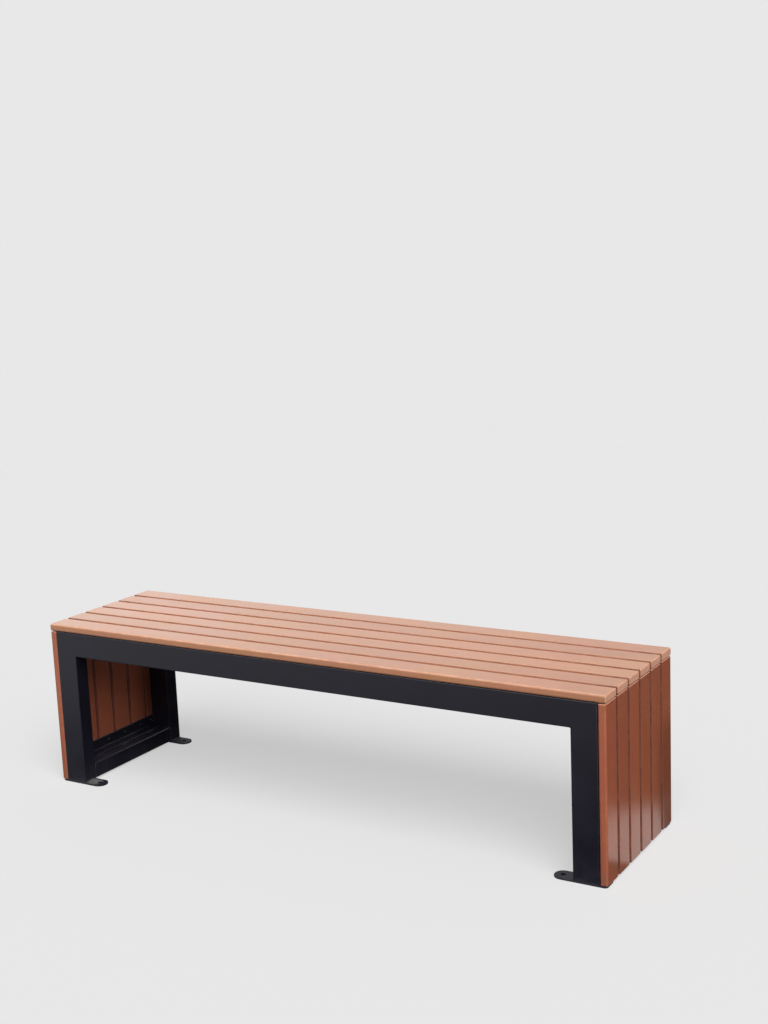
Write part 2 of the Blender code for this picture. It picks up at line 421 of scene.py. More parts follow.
def coordinates(tree, kind="Object"):
    """The places on a piece, or its facing or another kind of coordinates."""
    return tree.nodes.new("ShaderNodeTexCoord").outputs[kind]


def parts_of(tree, vector):
    """A vector's three parts."""
    made = tree.nodes.new("ShaderNodeSeparateXYZ")
    link(tree, vector, made.inputs[0])
    return tuple(made.outputs)


def calculate(tree, operation, first, *others):
    """A math node's result, or that of a row of them which take in the other values in turn."""
    for second in others or (0.0,):
        made = tree.nodes.new("ShaderNodeMath")
        made.operation = operation
        link(tree, first, made.inputs[0])
        link(tree, second, made.inputs[1])
        first = made.outputs[0]
    return first


def multiply(tree, *values):
    """The product of all the values."""
    return calculate(tree, "MULTIPLY", *values)


def measure(tree, operation, vector, other):
    """A number that a vector math node finds from two vectors."""
    made = tree.nodes.new("ShaderNodeVectorMath")
    made.operation = operation
    link(tree, vector, made.inputs[0])
    link(tree, other, made.inputs[1])
    return made.outputs["Value"]


def unsigned(tree, vector):
    """A vector with each part's sign taken off."""
    made = tree.nodes.new("ShaderNodeVectorMath")
    made.operation = "ABSOLUTE"
    link(tree, vector, made.inputs[0])
    return made.outputs[0]


def spread(tree, value, low, high, to_low=0.0, to_high=1.0):
    """A value brought from one range to another and kept inside it."""
    made = tree.nodes.new("ShaderNodeMapRange")
    made.interpolation_type = "SMOOTHSTEP"
    link(tree, value, made.inputs["Value"])
    made.inputs["From Min"].default_value = low
    made.inputs["From Max"].default_value = high
    made.inputs["To Min"].default_value = to_low
    made.inputs["To Max"].default_value = to_high
    return made.outputs[0]


def blend_colours(tree, factor, first, second):
    """A colour between two others."""
    made = tree.nodes.new("ShaderNodeMix")
    made.data_type = "RGBA"
    link(tree, factor, made.inputs[0])
    link(tree, first, made.inputs[6])
    link(tree, second, made.inputs[7])
    return made.outputs[2]


def scale_colour(tree, colour, factor):
    """A colour made lighter or darker by a factor."""
    made = tree.nodes.new("ShaderNodeVectorMath")
    made.operation = "SCALE"
    link(tree, colour, made.inputs[0])
    link(tree, factor, made.inputs["Scale"])
    return made.outputs[0]


def tinted(colour, tint, level=1.0):
    """A plain colour with its three parts each brought to a share, at a level."""
    return tuple(part * level * share for part, share in zip(colour, tint))


def stretched(tree, place, scale):
    """Coordinates scaled apart along each axis."""
    made = tree.nodes.new("ShaderNodeMapping")
    link(tree, place, made.inputs["Vector"])
    made.inputs["Scale"].default_value = scale
    return made.outputs[0]


def noise(tree, place, scale, detail=3.0, roughness=0.5, distortion=0.0):
    """A soft noise between 0 and 1."""
    made = tree.nodes.new("ShaderNodeTexNoise")
    link(tree, place, made.inputs["Vector"])
    made.inputs["Scale"].default_value = scale
    made.inputs["Detail"].default_value = detail
    made.inputs["Roughness"].default_value = roughness
    made.inputs["Distortion"].default_value = distortion
    return made.outputs[0]


def bump(tree, height, distance, strength, normal=None):
    """A bump from a height, on top of another bump if one is given."""
    made = tree.nodes.new("ShaderNodeBump")
    link(tree, height, made.inputs["Height"])
    made.inputs["Distance"].default_value = distance
    made.inputs["Strength"].default_value = strength
    if normal is not None:
        link(tree, normal, made.inputs["Normal"])
    return made.outputs[0]


def mix_shaders(tree, share, first, second):
    """The first shader where the share is 0, the second where it is 1."""
    made = tree.nodes.new("ShaderNodeMixShader")
    for source, target in zip((share, first, second), made.inputs):
        link(tree, source, target)
    return made.outputs[0]


# Where painted shade, painted highlights and wear lie

def edge_share(tree):
    """1 along the rounded edges of a square piece and 0 on its flat faces."""
    widest = calculate(tree, "MAXIMUM", *parts_of(tree, unsigned(tree, coordinates(tree, "Normal"))))
    return spread(tree, widest, 0.99, 0.80)


def gap_shade_share(tree, place):
    """Painted shade: 1 on the boards' sides that face each other across a gap, 0 on every open face."""
    facing = parts_of(tree, coordinates(tree, "Normal"))[Y_AXIS]
    forward = spread(tree, multiply(tree, facing, -1.0), 0.14, 0.52)
    backward = spread(tree, facing, 0.05, 0.40)
    half_depth = -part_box("seat_slat_1")[0].y
    from_middle = calculate(tree, "ABSOLUTE", parts_of(tree, place)[Y_AXIS])
    inside = spread(tree, calculate(tree, "SUBTRACT", half_depth, from_middle), 0.006, 0.012)
    return multiply(tree, calculate(tree, "MAXIMUM", forward, backward), inside)


def near_bench_ends(tree, place, start, full):
    """0 further from the bench's ends than the first distance, 1 nearer than the second."""
    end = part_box("seat_slat_1")[1].x
    from_middle = calculate(tree, "ABSOLUTE", parts_of(tree, place)[X_AXIS])
    return spread(tree, from_middle, end - start, end - full)


def rear_low_shade_share(tree, place):
    """Painted shade: 1 low down on the rearmost end boards, 0 at the front and the top."""
    _, depth, height = parts_of(tree, place)
    return multiply(tree, spread(tree, depth, 0.06, 0.16), spread(tree, height, 0.31, 0.19))


def ground_shade_share(tree, place):
    """Painted shade: 1 at the ground, falling to 0 above a hand's width."""
    return spread(tree, parts_of(tree, place)[Z_AXIS], 0.0, 0.14, 1.0, 0.0)


def from_tab_point(tree, place, from_tip, height):
    """The distance to a point that each foot plate's tab has at one distance from its tip."""
    low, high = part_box("front_right_foot_plate")
    point = (low.x + from_tip, -(low.y + high.y) / 2, height)
    return measure(tree, "DISTANCE", unsigned(tree, place), point)


def tab_highlight_share(tree, place):
    """A painted highlight on each foot plate's tab beside its hole, the front left one the most."""
    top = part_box("front_right_foot_plate")[1].z
    across, depth, height = parts_of(tree, place)
    return multiply(
        tree,
        spread(tree, from_tab_point(tree, place, TAB_HIGHLIGHT_FROM_TIP, top), 0.010, 0.026, 1.0, 0.0),
        spread(tree, height, top - 0.0006, top - 0.0002),
        spread(tree, height, 0.006, 0.010, 1.0, 0.0),
        spread(tree, across, -0.5, 0.5, 1.0, 0.15),
        spread(tree, depth, -0.1, 0.1, 1.0, 0.06),
    )


def board_tone(tree, place, amount, sides_differ):
    """A tone of its own for each board, told apart by its place from front to rear."""
    across, depth, _ = parts_of(tree, place)
    low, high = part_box("seat_slat_1")
    half_gap = (cad_board_pitch() - (high.y - low.y)) / 2
    along = calculate(tree, "SUBTRACT", depth, low.y - half_gap)
    seed = calculate(tree, "FLOOR", calculate(tree, "DIVIDE", along, cad_board_pitch()))
    if sides_differ:
        seed = calculate(tree, "ADD", seed, multiply(tree, calculate(tree, "SIGN", across), 17.0))
    tone = tree.nodes.new("ShaderNodeTexWhiteNoise")
    tone.noise_dimensions = "1D"
    link(tree, seed, tone.inputs["W"])
    return spread(tree, tone.outputs[0], 0.0, 1.0, 1.0 - amount, 1.0 + amount)


# Finishes

def paint_finish(name, paint, settings, across, gap_shade_tone, end_gap_shade_tone, end_reach, edge_wear_and_highlight, splash):
    """Semi-gloss paint over boards, its faint grain along the axis that across leaves small."""
    material, tree, shader = new_finish(name)
    place = coordinates(tree)
    lines = noise(tree, stretched(tree, place, across), 1.0, 2.0, 0.5)
    patches = noise(tree, place, 4.5, 2.0, 0.5)
    mottle = noise(tree, place, 38.0, 3.0, 0.55)

    colour = blend_colours(tree, spread(tree, patches, 0.36, 0.66), paint, tinted(paint, WARMER))
    for tone in (
        board_tone(tree, place, settings.tone_spread, sides_differ=splash > 0),
        spread(tree, lines, 0.34, 0.68, 0.955, 1.035),
        spread(tree, mottle, 0.34, 0.68, 0.98, 1.02),
        # Painted shade, low on the rearmost end boards
        spread(tree, rear_low_shade_share(tree, place), 0.0, 1.0, 1.0, 1.0 - splash),
    ):
        colour = scale_colour(tree, colour, tone)
    # Worn paint and a painted highlight along the edges
    worn_and_highlit = multiply(tree, edge_share(tree), spread(tree, mottle, 0.40, 0.66, 0.25, 1.0))
    colour = blend_colours(tree, multiply(tree, worn_and_highlit, edge_wear_and_highlight), colour, tinted(paint, WORN_AND_HIGHLIT))
    # Painted shade on the boards, darker towards the ground
    dust_and_ground_shade = multiply(tree, ground_shade_share(tree, place), spread(tree, mottle, 0.34, 0.66, 0.14, 0.42))
    colour = blend_colours(tree, dust_and_ground_shade, colour, GROUND_SHADE)
    # Painted shade in the gaps between the boards, deeper near the bench's ends
    gap_shade = tinted(paint, GAP_SHADE_TINT, gap_shade_tone)
    end_gap_shade = tinted(paint, GAP_SHADE_TINT, end_gap_shade_tone)
    shade = blend_colours(tree, near_bench_ends(tree, place, *end_reach), gap_shade, end_gap_shade)
    painted_gap_shade = multiply(tree, gap_shade_share(tree, place), spread(tree, mottle, 0.30, 0.60, 0.75, 0.92))
    link(tree, blend_colours(tree, painted_gap_shade, colour, shade), shader.inputs["Base Color"])

    gloss = noise(tree, place, 9.0, 4.0, 0.6)
    rough = spread(tree, gloss, 0.36, 0.68, settings.roughness - 0.02, settings.roughness + 0.08)
    rough = calculate(tree, "ADD", rough, multiply(tree, worn_and_highlit, 0.06), multiply(tree, painted_gap_shade, 0.65))
    link(tree, rough, shader.inputs["Roughness"])
    shader.inputs["IOR"].default_value = PAINT_IOR

    surface = bump(tree, noise(tree, place, 11.0, 1.0, 0.5), 0.0008, 0.10)
    surface = bump(tree, lines, 0.00006, 0.09, surface)
    link(tree, surface, shader.inputs["Normal"])
    return material


def end_grain_finish(settings):
    """Paint on the boards' sawn ends, paler, duller and speckled."""
    existing = bpy.data.materials.get("board_end_paint")
    if existing is not None:
        return existing
    material, tree, shader = new_finish("board_end_paint")
    place = coordinates(tree)
    speckle = noise(tree, place, 520.0, 3.0, 0.6)
    rings = noise(tree, stretched(tree, place, (20.0, 60.0, 210.0)), 1.0, 3.0, 0.55, 0.8)
    colour = scale_colour(tree, settings.sawn_paint, spread(tree, speckle, 0.32, 0.70, 0.80, 1.14))
    colour = scale_colour(tree, colour, spread(tree, rings, 0.35, 0.68, 0.92, 1.05))
    # Painted shade in the gaps between the boards' sawn ends
    painted_gap_shade = multiply(tree, gap_shade_share(tree, place), 0.9)
    colour = blend_colours(tree, painted_gap_shade, colour, tinted(settings.sawn_paint, END_GRAIN_GAP_SHADE))
    link(tree, colour, shader.inputs["Base Color"])
    rough = spread(tree, speckle, 0.35, 0.65, 0.48, 0.66)
    link(tree, calculate(tree, "ADD", rough, multiply(tree, painted_gap_shade, 0.3)), shader.inputs["Roughness"])
    shader.inputs["IOR"].default_value = PAINT_IOR
    surface = bump(tree, rings, 0.00030, 0.35)
    link(tree, bump(tree, speckle, 0.00022, 0.55, surface), shader.inputs["Normal"])
    return material


def coating_finish(settings):
    """Satin charcoal powder coat, with a fine texture, rubbed edges, a dusty tint near the ground and a
    painted highlight on the feet's tabs.
    """
    existing = bpy.data.materials.get("frame_powder_coat")
    if existing is not None:
        return existing
    material, tree, shader = new_finish("frame_powder_coat")
    place = coordinates(tree)
    peel = noise(tree, place, 950.0, 2.0, 0.5)
    clouds = noise(tree, place, 7.0, 4.0, 0.6)
    scuffs = noise(tree, place, 90.0, 7.0, 0.7)

    colour = scale_colour(tree, settings.coating, spread(tree, clouds, 0.35, 0.68, 0.90, 1.12))
    rubbed = multiply(tree, edge_share(tree), spread(tree, scuffs, 0.46, 0.70), 0.18)
    colour = blend_colours(tree, rubbed, colour, RUBBED_STEEL)
    dust_and_ground_shade = multiply(
        tree,
        spread(tree, parts_of(tree, place)[Z_AXIS], 0.0, 0.09, 1.0, 0.0),
        spread(tree, clouds, 0.40, 0.66, 0.2, 1.0),
        spread(tree, scuffs, 0.38, 0.62, 0.3, 1.0),
    )
    colour = blend_colours(tree, multiply(tree, dust_and_ground_shade, 0.03), colour, PALE_DUST)
    # Painted highlight on the foot plates' tabs, strongest on the front left one
    tab_highlight_mask = multiply(tree, tab_highlight_share(tree, place), spread(tree, scuffs, 0.36, 0.60, 0.55, 1.0))
    link(tree, blend_colours(tree, tab_highlight_mask, colour, settings.tab_highlight), shader.inputs["Base Color"])

    base = settings.coating_roughness
    rough = spread(tree, clouds, 0.34, 0.70, base - 0.05, base + 0.07)
    link(tree, calculate(tree, "ADD", rough, multiply(tree, dust_and_ground_shade, 0.12)), shader.inputs["Roughness"])
    shader.inputs["Specular IOR Level"].default_value = 0.4

    surface = bump(tree, clouds, 0.0010, 0.05)
    link(tree, bump(tree, peel, 0.00012, 0.22, surface), shader.inputs["Normal"])
    return material


def zinc_finish(settings):
    """Zinc plated screw steel, a little dulled."""
    material, tree, shader = new_finish("screw_zinc")
    stains = noise(tree, coordinates(tree), 260.0, 5.0, 0.65)
    colour = scale_colour(tree, settings.zinc, spread(tree, stains, 0.34, 0.70, 0.72, 1.08))
    link(tree, colour, shader.inputs["Base Color"])
    link(tree, spread(tree, stains, 0.34, 0.70, 0.26, 0.46), shader.inputs["Roughness"])
    shader.inputs["Metallic"].default_value = 1.0
    link(tree, bump(tree, stains, 0.00008, 0.25), shader.inputs["Normal"])
    return material


# Meshes

def piece_from(name, shape, materials, slot, *nodes):
    """A finished piece from a bmesh, which rides on the bench and stands for the given CAD nodes."""
    bmesh.ops.remove_doubles(shape, verts=shape.verts, dist=MERGE_DISTANCE)
    bmesh.ops.recalc_face_normals(shape, faces=shape.faces)
    mesh = bpy.data.meshes.new(name)
    shape.to_mesh(mesh)
    shape.free()
    mesh.shade_smooth()
    mesh.set_sharp_from_angle(angle=SMOOTH_BELOW)
    for material in materials:
        mesh.materials.append(material)
    piece = bpy.data.objects.new(name, mesh)
    bpy.context.scene.collection.objects.link(piece)
    smooth = piece.modifiers.new("Even shading", "WEIGHTED_NORMAL")
    smooth.keep_sharp = True
    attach(piece, BODY)
    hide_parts(*nodes)


def same(first, second):
    """Whether two places along an axis are one."""
    return abs(first - second) < MERGE_DISTANCE


def outer_x(corners, side):
    """Where a CAD box ends on the side away from the bench's middle."""
    low, high = corners
    return high.x if side > 0 else low.x


def inner_x(corners, side):
    """Where a CAD box ends on the side towards the bench's middle."""
    return outer_x(corners, -side)


def edges_along(shape, axis):
    """The edges of a shape that run along one axis."""
    found = []
    for edge in shape.edges:
        run = (edge.verts[1].co - edge.verts[0].co).normalized()
        if abs(run[axis]) > ALONG_AXIS:
            found.append(edge)
    return found


def edges_across(shape, axis):
    """The edges of a shape that lie square to one axis."""
    return [edge for edge in shape.edges if same(edge.verts[0].co[axis], edge.verts[1].co[axis])]


def round_edges(shape, edges, radius, steps):
    """Rounds or fillets those edges of a bmesh that are still there."""
    bmesh.ops.bevel(
        shape,
        geom=[edge for edge in edges if edge.is_valid],
        offset=radius,
        offset_type="OFFSET",
        affect="EDGES",
        segments=steps,
        profile=0.5,
        material=-1,
        clamp_overlap=True,
    )


def block(low, high):
    """A square block between two corners, as a bmesh."""
    shape = bmesh.new()
    bmesh.ops.create_cube(shape, size=1)
    bmesh.ops.scale(shape, verts=shape.verts, vec=high - low)
    bmesh.ops.translate(shape, verts=shape.verts, vec=(low + high) / 2)
    return shape


def prism(outline, start, end):
    """A flat outline in the XZ plane, carried along Y from start to end."""
    shape = bmesh.new()
    shape.faces.new([shape.verts.new((x, start, z)) for x, z in outline])
    grown = bmesh.ops.extrude_face_region(shape, geom=shape.faces[:])["geom"]
    moved = [item for item in grown if isinstance(item, bmesh.types.BMVert)]
    bmesh.ops.translate(shape, verts=moved, vec=(0, end - start, 0))
    bmesh.ops.recalc_face_normals(shape, faces=shape.faces)
    return shape


def applied(shape, name, cutter_shape):
    """A bmesh with a second one cut out of it."""
    target = bpy.data.objects.new(name, bpy.data.meshes.new(name))
    cutter = bpy.data.objects.new(name + "_cutter", bpy.data.meshes.new(name + "_cutter"))
    for made, source in ((target, shape), (cutter, cutter_shape)):
        bmesh.ops.recalc_face_normals(source, faces=source.faces)
        source.to_mesh(made.data)
        source.free()
        bpy.context.scene.collection.objects.link(made)
    cut = target.modifiers.new("Cut", "BOOLEAN")
    cut.operation = "DIFFERENCE"
    cut.solver = "EXACT"
    cut.object = cutter
    graph = bpy.context.evaluated_depsgraph_get()
    graph.update()
    result = bmesh.new()
    result.from_mesh(target.evaluated_get(graph).to_mesh())
    if not result.faces:
        raise RuntimeError(f"nothing is left of {name} after its cut")
    for made in (target, cutter):
        data = made.data
        bpy.data.objects.remove(made, do_unlink=True)
        bpy.data.meshes.remove(data)
    return result


# Boards

def board_shape(node, long_axis, end_rounding, settings):
    """A board in its CAD place, every edge rounded, its two sawn ends in the second material."""
    shape = block(*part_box(node))
    for face in shape.faces:
        if abs(face.normal[long_axis]) > ALONG_AXIS:
            face.material_index = 1
    round_edges(shape, edges_along(shape, long_axis), settings.rounding, settings.rounding_steps)
    round_edges(shape, edges_across(shape, long_axis), end_rounding, SAWN_END_STEPS)
    return shape


class BENCH_OT_seat_boards(bpy.types.Operator):
    """Builds the six seat boards"""

    bl_idname = "bench.seat_boards"
    bl_label = "Seat boards"
    bl_options = {"REGISTER", "UNDO"}

    def execute(self, context):
        settings = context.scene.bench_boards
        paint = paint_finish(
            "seat_board_paint",
            settings.seat_paint,
            settings,
            across=(5.0, 420.0, 420.0),
            gap_shade_tone=settings.seat_gap_shade,
            end_gap_shade_tone=GAP_END_SHARE * settings.seat_gap_shade,
            end_reach=SEAT_END_REACH,
            edge_wear_and_highlight=settings.seat_edge_wear_and_highlight,
            splash=0.0,
        )
        finishes = (paint, end_grain_finish(settings))
        for number in range(1, BOARD_COUNT + 1):
            node = f"seat_slat_{number}"
            shape = board_shape(node, X_AXIS, settings.end_rounding, settings)
            piece_from(f"seat_board_{number}", shape, finishes, BOARD_SLOT, node)
        return {"FINISHED"}


class BENCH_OT_end_boards(bpy.types.Operator):
    """Builds the six upright boards at each end"""

    bl_idname = "bench.end_boards"
    bl_label = "End boards"
    bl_options = {"REGISTER", "UNDO"}

    def execute(self, context):
        settings = context.scene.bench_boards
        paint = paint_finish(
            "end_board_paint",
            settings.upright_paint,
            settings,
            across=(420.0, 420.0, 5.0),
            gap_shade_tone=INNER_GAP_FACTOR * settings.upright_gap_shade,
            end_gap_shade_tone=settings.upright_gap_shade,
            end_reach=UPRIGHT_END_REACH,
            edge_wear_and_highlight=settings.upright_edge_wear_and_highlight,
            splash=settings.splash,
        )
        finishes = (paint, end_grain_finish(settings))
        for side_name, _ in SIDES:
            for number in range(1, BOARD_COUNT + 1):
                node = f"{side_name}_end_slat_{number}"
                shape = board_shape(node, Z_AXIS, settings.upright_end_rounding, settings)
                piece_from(f"{side_name}_end_board_{number}", shape, finishes, BOARD_SLOT, node)
        return {"FINISHED"}


# Steel frame

class BENCH_OT_portal_frames(bpy.types.Operator):
    """Builds the front and the rear portal frame"""

    bl_idname = "bench.portal_frames"
    bl_label = "Portal frames"
    bl_options = {"REGISTER", "UNDO"}

    def execute(self, context):
        settings = context.scene.bench_steel
        coat = coating_finish(settings)
        for depth_name in DEPTHS:
            nodes = [f"{depth_name}_rail", f"{depth_name}_left_leg", f"{depth_name}_right_leg"]
            rail_low, rail_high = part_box(nodes[0])
            leg_low, leg_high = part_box(nodes[2])
            outline = [
                (-leg_high.x, leg_low.z),
                (-leg_high.x, rail_high.z),
                (leg_high.x, rail_high.z),
                (leg_high.x, leg_low.z),
                (leg_low.x, leg_low.z),
                (leg_low.x, rail_low.z),
                (-leg_low.x, rail_low.z),
                (-leg_low.x, leg_low.z),
            ]
            shape = prism(outline, rail_low.y, rail_high.y)
            inner_corners = [
                edge for edge in edges_along(shape, Y_AXIS) if same(edge.verts[0].co.z, rail_low.z)
            ]
            round_edges(shape, inner_corners, settings.inner_fillet, FILLET_STEPS)
            above_feet = [
                edge
                for edge in edges_across(shape, Y_AXIS)
                if max(vertex.co.z for vertex in edge.verts) > leg_low.z + MERGE_DISTANCE
            ]
            round_edges(shape, above_feet, settings.tube_corner, TUBE_CORNER_STEPS)
            piece_from(f"{depth_name}_portal_frame", shape, (coat,), FRAME_SLOT, *nodes)
        return {"FINISHED"}


class BENCH_OT_floor_tubes(bpy.types.Operator):
    """Builds the floor tube at each end"""

    bl_idname = "bench.floor_tubes"
    bl_label = "Floor tubes"
    bl_options = {"REGISTER", "UNDO"}

    def execute(self, context):
        settings = context.scene.bench_steel
        coat = coating_finish(settings)
        for side_name, _ in SIDES:
            node = f"{side_name}_floor_tube"
            shape = block(*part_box(node))
            round_edges(shape, edges_along(shape, Y_AXIS), settings.tube_corner, TUBE_CORNER_STEPS)
            piece_from(f"{side_name}_floor_rail", shape, (coat,), FRAME_SLOT, node)
        return {"FINISHED"}


def angle_shape(node, heel_x, heel_z, thickness, settings):
    """A steel angle along Y in its CAD place, from the corner where its heel is."""
    low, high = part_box(node)
    far_x = low.x if heel_x > (low.x + high.x) / 2 else high.x
    far_z = low.z if heel_z > (low.z + high.z) / 2 else high.z
    in_x = heel_x + math.copysign(thickness, far_x - heel_x)
    in_z = heel_z + math.copysign(thickness, far_z - heel_z)
    outline = [
        (heel_x, heel_z),
        (far_x, heel_z),
        (far_x, in_z),
        (in_x, in_z),
        (in_x, far_z),
        (heel_x, far_z),
    ]
    shape = prism(outline, low.y, high.y)
    roots = []
    toes = []
    for edge in edges_along(shape, Y_AXIS):
        place = edge.verts[0].co
        if same(place.x, in_x) and same(place.z, in_z):
            roots.append(edge)
        elif same(place.x, in_x) or same(place.z, in_z):
            toes.append(edge)
    round_edges(shape, roots, settings.angle_root, ANGLE_ROOT_STEPS)
    round_edges(shape, toes, settings.angle_toe, ANGLE_TOE_STEPS)
    return shape


class BENCH_OT_steel_angles(bpy.types.Operator):
    """Builds the seat bearers, the corner angles and the floor angles"""

    bl_idname = "bench.steel_angles"
    bl_label = "Steel angles"
    bl_options = {"REGISTER", "UNDO"}

    def execute(self, context):
        settings = context.scene.bench_steel
        coat = coating_finish(settings)
        for side_name, side in SIDES:
            node = f"{side_name}_corner_angle"
            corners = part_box(node)
            heel_x = outer_x(corners, side)
            shape = angle_shape(node, heel_x, corners[1].z, BEARER_THICKNESS, settings)
            piece_from(f"{side_name}_seat_angle", shape, (coat,), FRAME_SLOT, node)
            node = f"{side_name}_floor_angle"
            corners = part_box(node)
            heel_x = outer_x(corners, side)
            shape = angle_shape(node, heel_x, corners[0].z, FLOOR_ANGLE_THICKNESS, settings)
            piece_from(f"{side_name}_low_angle", shape, (coat,), FRAME_SLOT, node)
        for number in range(1, BEARER_COUNT + 1):
            node = f"seat_bearer_{number}"
            low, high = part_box(node)
            shape = angle_shape(node, low.x, high.z, BEARER_THICKNESS, settings)
            piece_from(f"bearer_angle_{number}", shape, (coat,), FRAME_SLOT, node)
        return {"FINISHED"}


def plate_shape(node, side, settings):
    """A foot plate in its CAD place, with its round ended tab and anchor hole."""
    low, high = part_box(node)
    tip_x = inner_x((low, high), side)
    shape = block(low, high)
    uprights = edges_along(shape, Z_AXIS)
    tip = [edge for edge in uprights if same(edge.verts[0].co.x, tip_x)]
    outer = [edge for edge in uprights if edge not in tip]
    round_edges(shape, outer, settings.plate_corner, PLATE_CORNER_STEPS)
    round_edges(shape, tip, (high.y - low.y) / 2, TAB_STEPS)
    bmesh.ops.remove_doubles(shape, verts=shape.verts, dist=MERGE_DISTANCE)
    hole_x = tip_x + side * settings.hole_from_tip
    thickness = high.z - low.z
    cutter = bmesh.new()
    bmesh.ops.create_cone(
        cutter,
        cap_ends=True,
        segments=HOLE_STEPS,
        radius1=settings.hole_radius,
        radius2=settings.hole_radius,
        depth=3 * thickness,
        matrix=Matrix.Translation((hole_x, (low.y + high.y) / 2, thickness / 2)),
    )
    shape = applied(shape, node + "_blank", cutter)
    rims = [
        edge
        for edge in shape.edges
        if len(edge.link_faces) == 2 and edge.calc_face_angle() > SMOOTH_BELOW
    ]
    round_edges(shape, rims, settings.plate_edge, PLATE_EDGE_STEPS)
    return shape


class BENCH_OT_foot_plates(bpy.types.Operator):
    """Builds the four foot plates with their round ended tabs"""

    bl_idname = "bench.foot_plates"
    bl_label = "Foot plates"
    bl_options = {"REGISTER", "UNDO"}

    def execute(self, context):
        settings = context.scene.bench_steel
        coat = coating_finish(settings)
        for depth_name in DEPTHS:
            for side_name, side in SIDES:
                node = f"{depth_name}_{side_name}_foot_plate"
                shape = plate_shape(node, side, settings)
                piece_from(f"{depth_name}_{side_name}_anchor_plate", shape, (coat,), FRAME_SLOT, node)
        return {"FINISHED"}


# Welds

def lay_bead(shape, start, end, radius, pitch):
    """A rippled weld bead between two points, half sunk in the steel on either side."""
    start, end = Vector(start), Vector(end)
    run = end - start
    steps = max(4, round(run.length / pitch))
    now = radius * BEAD_END
    place = Matrix.Translation(start) @ UP.rotation_difference(run).to_matrix().to_4x4()
    made = bmesh.ops.create_circle(shape, cap_ends=True, segments=BEAD_SIDES, radius=now, matrix=place)
    face = made["verts"][0].link_faces[0]
    grown = bmesh.ops.extrude_face_region(shape, geom=[face])["geom"]
    tip = [item for item in grown if isinstance(item, bmesh.types.BMFace)][-1]
    for step in range(1, steps + 1):
        if step > 1:
            tip = bmesh.ops.extrude_discrete_faces(shape, faces=[tip])["faces"][0]
        bmesh.ops.translate(shape, verts=tip.verts, vec=run / steps)
        wanted = radius * (1.0 if step % 2 else BEAD_VALLEY)
        if step == steps:
            wanted = radius * BEAD_END
        centre = Matrix.Translation(-(start + run * step / steps))
        bmesh.ops.scale(shape, verts=tip.verts, vec=Vector((1, 1, 1)) * wanted / now, space=centre)
        now = wanted


def end_beads(side_name, side):
    """Where the beads of one end run, as pairs of points."""
    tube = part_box(f"{side_name}_floor_tube")
    tube_low, tube_high = tube
    near_x, far_x = inner_x(tube, side), outer_x(tube, side)
    beads = []
    for y in (tube_low.y, tube_high.y):
        start_x, end_x = near_x + side * CLEAR_OF_CORNER, far_x - side * CLEAR_OF_END
        beads.append(((start_x, y, tube_high.z), (end_x, y, tube_high.z)))
        start_z, end_z = tube_low.z + CLEAR_OF_END, tube_high.z - CLEAR_OF_CORNER
        beads.append(((near_x, y, start_z), (near_x, y, end_z)))

    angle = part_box(f"{side_name}_corner_angle")
    low, high = angle
    under = high.z - BEARER_THICKNESS
    web_x = far_x - side * BEARER_THICKNESS
    for y in (low.y, high.y):
        beads.append(((inner_x(angle, side), y, under), (web_x - side * CLEAR_OF_ROOT, y, under)))
        beads.append(((web_x, y, under - CLEAR_OF_ROOT), (web_x, y, low.z + CLEAR_OF_TOE)))

    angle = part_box(f"{side_name}_floor_angle")
    low, high = angle
    above = low.z + FLOOR_ANGLE_THICKNESS
    web_x = far_x - side * FLOOR_ANGLE_THICKNESS
    for y in (low.y, high.y):
        beads.append(((web_x, y, above + CLEAR_OF_ROOT), (web_x, y, high.z - CLEAR_OF_TOE)))
    toe_x = inner_x(angle, side)
    for y in TACK_PLACES:
        beads.append(((toe_x, y - HALF_TACK, tube_high.z), (toe_x, y + HALF_TACK, tube_high.z)))

    for depth_name in DEPTHS:
        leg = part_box(f"{depth_name}_{side_name}_leg")
        leg_x = inner_x(leg, side)
        start_y, end_y = leg[0].y + CLEAR_OF_CORNER, leg[1].y - CLEAR_OF_CORNER
        plate_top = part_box(f"{depth_name}_{side_name}_foot_plate")[1].z
        beads.append(((leg_x, start_y, plate_top), (leg_x, end_y, plate_top)))
    return beads


def bearer_beads(number):
    """Where the beads of one seat bearer run, as pairs of points."""
    low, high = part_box(f"seat_bearer_{number}")
    under = high.z - BEARER_THICKNESS
    root_x = low.x + BEARER_THICKNESS + CLEAR_OF_ROOT
    toe_x, toe_z = high.x - CLEAR_OF_BEARER_TOE, low.z + CLEAR_OF_BEARER_TOE
    beads = []
    for y in (low.y, high.y):
        beads.append(((root_x, y, under), (toe_x, y, under)))
        beads.append(((low.x, y, high.z - CLEAR_OF_END), (low.x, y, toe_z)))
    return beads


class BENCH_OT_welds(bpy.types.Operator):
    """Lays the weld beads at the feet, the floor tubes, the angles and the bearers"""

    bl_idname = "bench.welds"
    bl_label = "Welds"
    bl_options = {"REGISTER", "UNDO"}

    def execute(self, context):
        settings = context.scene.bench_steel
        coat = coating_finish(settings)
        runs = {f"{side_name}_end_welds": end_beads(side_name, side) for side_name, side in SIDES}
        numbers = range(1, BEARER_COUNT + 1)
        runs["bearer_welds"] = [bead for number in numbers for bead in bearer_beads(number)]
        for name, beads in runs.items():
            shape = bmesh.new()
            for start, end in beads:
                lay_bead(shape, start, end, settings.weld_radius, settings.weld_pitch)
            piece_from(name, shape, (coat,), FRAME_SLOT)
        return {"FINISHED"}


# Screws

